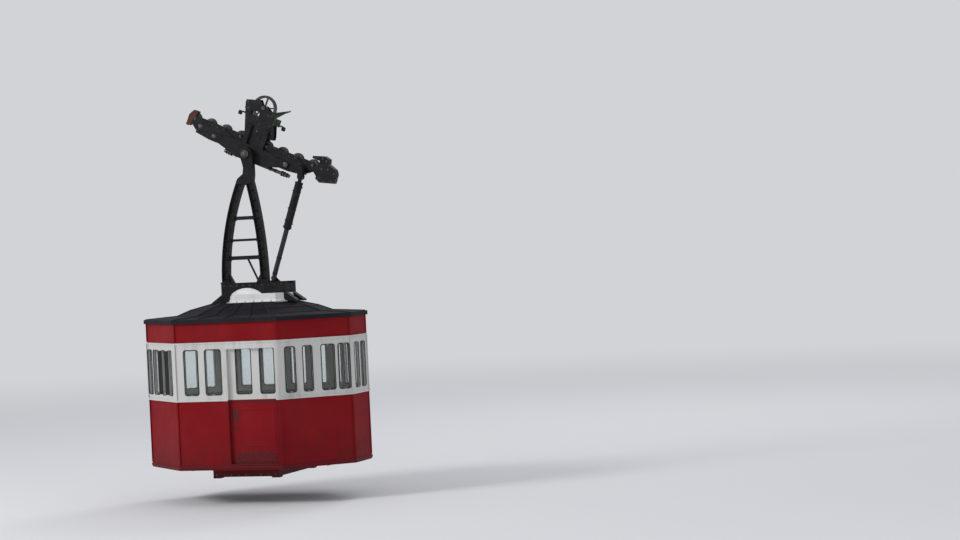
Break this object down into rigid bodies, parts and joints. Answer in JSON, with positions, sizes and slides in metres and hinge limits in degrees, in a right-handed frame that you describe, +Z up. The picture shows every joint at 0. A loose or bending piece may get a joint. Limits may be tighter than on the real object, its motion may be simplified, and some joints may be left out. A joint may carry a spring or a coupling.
{
  "type": "cable car cabin with hanger and carriage",
  "caption": "Aerial cable car: eight-sided red cabin with a white window band, hung by a bowed frame from a carriage of grooved wheels for one track rope.",
  "frame": {"origin": "on the axis of the track rope, at the middle of the carriage", "axes": "+Z up, +X horizontal towards the downhill end, +Y across towards the far long side"},
  "size_m": [3.116, 2.205, 5.2494],
  "materials": {
    "body_red": "satin",
    "frame_white": "satin",
    "roof_dark": "matt",
    "hanger_dark": "satin",
    "wheel_steel": "worn",
    "pin_steel": "oiled",
    "guard_rust": "worn",
    "lever_green": "satin",
    "plinth_white": "satin",
    "glass": "clear",
    "floor_grey": "ribbed",
    "inner_cream": "satin",
    "rail_steel": "brushed",
    "frame_dark_red": "matt"
  },
  "bodies": {
    "carriage": {"bogie_beams": "hanger_dark", "damper_bracket": "hanger_dark", "downhill_guide": "hanger_dark", "haul_coupling": "pin_steel", "main_beam_far": "hanger_dark", "main_beam_near": "hanger_dark", "rope_bushes": "hanger_dark", "sheave_axle": "pin_steel", "sheave_fork": "hanger_dark", "sheave_lever": "lever_green", "swing_pin": "pin_steel", "uphill_guard": "guard_rust", "wheel_trucks": "hanger_dark"},
    "guide_sheave": {"guide_sheave": "wheel_steel"},
    "track_wheel_1": {"track_wheel_1": "wheel_steel"},
    "track_wheel_2": {"track_wheel_2": "wheel_steel"},
    "track_wheel_3": {"track_wheel_3": "wheel_steel"},
    "track_wheel_4": {"track_wheel_4": "wheel_steel"},
    "track_wheel_5": {"track_wheel_5": "wheel_steel"},
    "track_wheel_6": {"track_wheel_6": "wheel_steel"},
    "track_wheel_7": {"track_wheel_7": "wheel_steel"},
    "track_wheel_8": {"track_wheel_8": "wheel_steel"},
    "hanger": {"base_frame": "hanger_dark", "ceiling": "inner_cream", "damper_lug": "hanger_dark", "door_tracks": "rail_steel", "fascia_corner": "body_red", "fascia_end": "body_red", "fascia_long": "body_red", "floor": "floor_grey", "handrails": "rail_steel", "hanger_head": "hanger_dark", "hanger_rungs": "hanger_dark", "landing_feet": "hanger_dark", "leg_downhill": "hanger_dark", "leg_uphill": "hanger_dark", "lower_wall_far": "body_red", "lower_wall_near": "body_red", "lower_walls_corner": "body_red", "lower_walls_end": "body_red", "roof": "roof_dark", "roof_plinth": "plinth_white", "roof_rim": "roof_dark", "underframe_ends": "frame_dark_red", "underframe_sides": "frame_dark_red", "window_frame_far": "frame_white", "window_frame_near": "frame_white", "window_frames_corner": "frame_white", "window_frames_end": "frame_white", "window_glass": "glass"},
    "damper_tube": {"damper_tube": "hanger_dark"},
    "damper_rod": {"damper_rod": "pin_steel"},
    "door_near": {"door_frame_near": "frame_white", "door_glass_near": "glass", "door_leaf_near": "body_red"},
    "door_far": {"door_frame_far": "frame_white", "door_glass_far": "glass", "door_leaf_far": "body_red"}
  },
  "joints": [
    {"name": "wheel_1_turn", "type": "hinge", "parent": "carriage", "child": "track_wheel_1", "pos_m": [-0.83044, 0, 0.45377], "axis": [0, 1, 0], "continuous": true},
    {"name": "wheel_2_turn", "type": "hinge", "parent": "carriage", "child": "track_wheel_2", "pos_m": [-0.60576, 0, 0.35608], "axis": [0, 1, 0], "continuous": true},
    {"name": "wheel_3_turn", "type": "hinge", "parent": "carriage", "child": "track_wheel_3", "pos_m": [-0.38108, 0, 0.25838], "axis": [0, 1, 0], "continuous": true},
    {"name": "wheel_4_turn", "type": "hinge", "parent": "carriage", "child": "track_wheel_4", "pos_m": [-0.1564, 0, 0.16069], "axis": [0, 1, 0], "continuous": true},
    {"name": "wheel_5_turn", "type": "hinge", "parent": "carriage", "child": "track_wheel_5", "pos_m": [0.22418, 0, -0.00479], "axis": [0, 1, 0], "continuous": true},
    {"name": "wheel_6_turn", "type": "hinge", "parent": "carriage", "child": "track_wheel_6", "pos_m": [0.44886, 0, -0.10248], "axis": [0, 1, 0], "continuous": true},
    {"name": "wheel_7_turn", "type": "hinge", "parent": "carriage", "child": "track_wheel_7", "pos_m": [0.67354, 0, -0.20018], "axis": [0, 1, 0], "continuous": true},
    {"name": "wheel_8_turn", "type": "hinge", "parent": "carriage", "child": "track_wheel_8", "pos_m": [0.89822, 0, -0.29787], "axis": [0, 1, 0], "continuous": true},
    {"name": "sheave_turn", "type": "hinge", "parent": "carriage", "child": "guide_sheave", "pos_m": [0.20895, 0, 0.5307], "axis": [0, 1, 0], "continuous": true},
    {"name": "hanger_swing", "type": "hinge", "parent": "carriage", "child": "hanger", "pos_m": [-0.03987, 0, -0.09171], "axis": [0, 1, 0], "range_deg": [-15, 15]},
    {"name": "damper_turn", "type": "hinge", "parent": "carriage", "child": "damper_tube", "pos_m": [0.75313, -0.135, -0.45271], "axis": [0, 1, 0], "range_deg": [-16.8, 16.8]},
    {"name": "damper_stroke", "type": "slide", "parent": "damper_tube", "child": "damper_rod", "axis": [-0.3261, 0, -0.9453], "range_m": [-0.2407, 0.2407]},
    {"name": "door_near_slide", "type": "slide", "parent": "hanger", "child": "door_near", "axis": [-1, 0, 0], "range_m": [0, 0.7]},
    {"name": "door_far_slide", "type": "slide", "parent": "hanger", "child": "door_far", "axis": [1, 0, 0], "range_m": [0, 0.7]}
  ],
  "couplings": [
    {"joint": "damper_turn", "follows": "hanger_swing", "ratio": 1.0569},
    {"joint": "damper_stroke", "follows": "hanger_swing", "m_per_rad": 0.8674}
  ]
}
